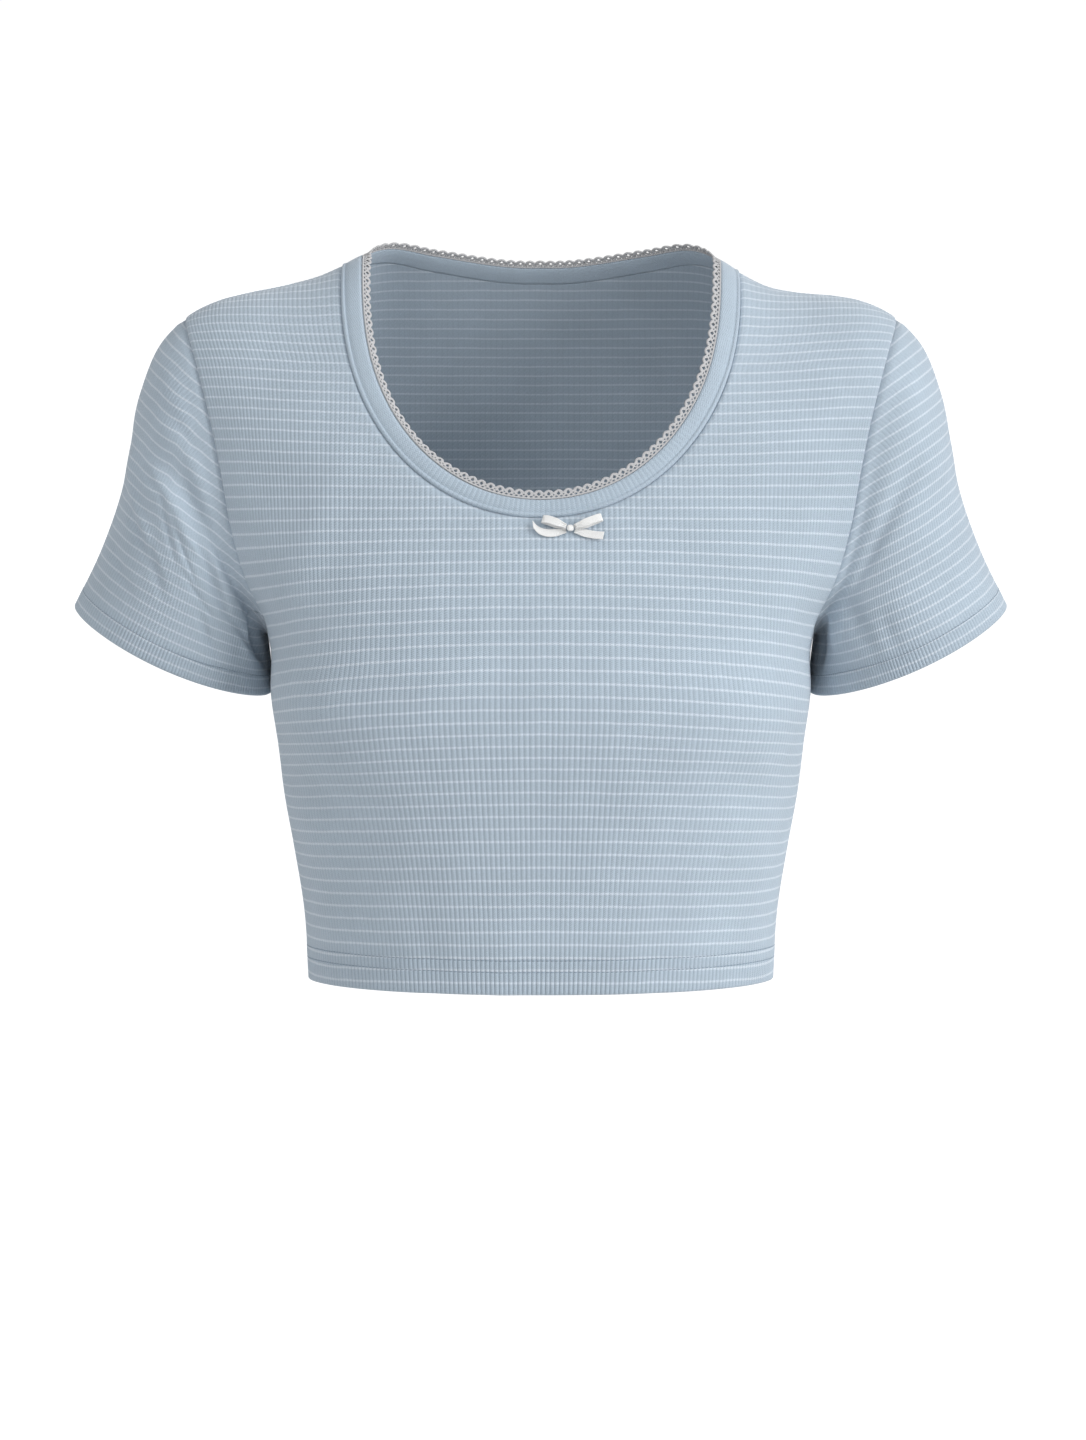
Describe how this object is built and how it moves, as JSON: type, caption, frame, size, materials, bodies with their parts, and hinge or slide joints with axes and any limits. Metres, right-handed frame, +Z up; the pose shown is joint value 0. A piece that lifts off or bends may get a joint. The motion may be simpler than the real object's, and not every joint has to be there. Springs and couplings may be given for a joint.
{
  "type": "short-sleeved crop top",
  "caption": "Scoop-neck crop top in striped rib knit, open as worn, with set-in short sleeves, a bound neckline with picot edging and a small ribbon bow.",
  "frame": {"origin": "between the shoulders, about level with the neck ends of the shoulder seams, where the wearer's shoulders hold the garment", "axes": "+X to the wearer's left along the shoulders, +Y to the wearer's back, +Z up"},
  "size_m": [0.5, 0.2127, 0.3967],
  "materials": {
    "rib_knit": "light blue rib knit with thin white cross stripes",
    "binding_knit": "plain light blue rib knit",
    "picot_edging": "pale grey elastic edging with small scallops",
    "satin_ribbon": "white satin"
  },
  "bodies": {
    "root": {"front_panel": "rib_knit", "back_panel": "rib_knit", "right_sleeve": "rib_knit", "left_sleeve": "rib_knit", "neck_binding": "binding_knit", "picot_trim": "picot_edging", "bow_left_loop": "satin_ribbon", "bow_right_loop": "satin_ribbon", "bow_left_tail": "satin_ribbon", "bow_right_tail": "satin_ribbon", "bow_knot": "satin_ribbon"}
  },
  "joints": []
}
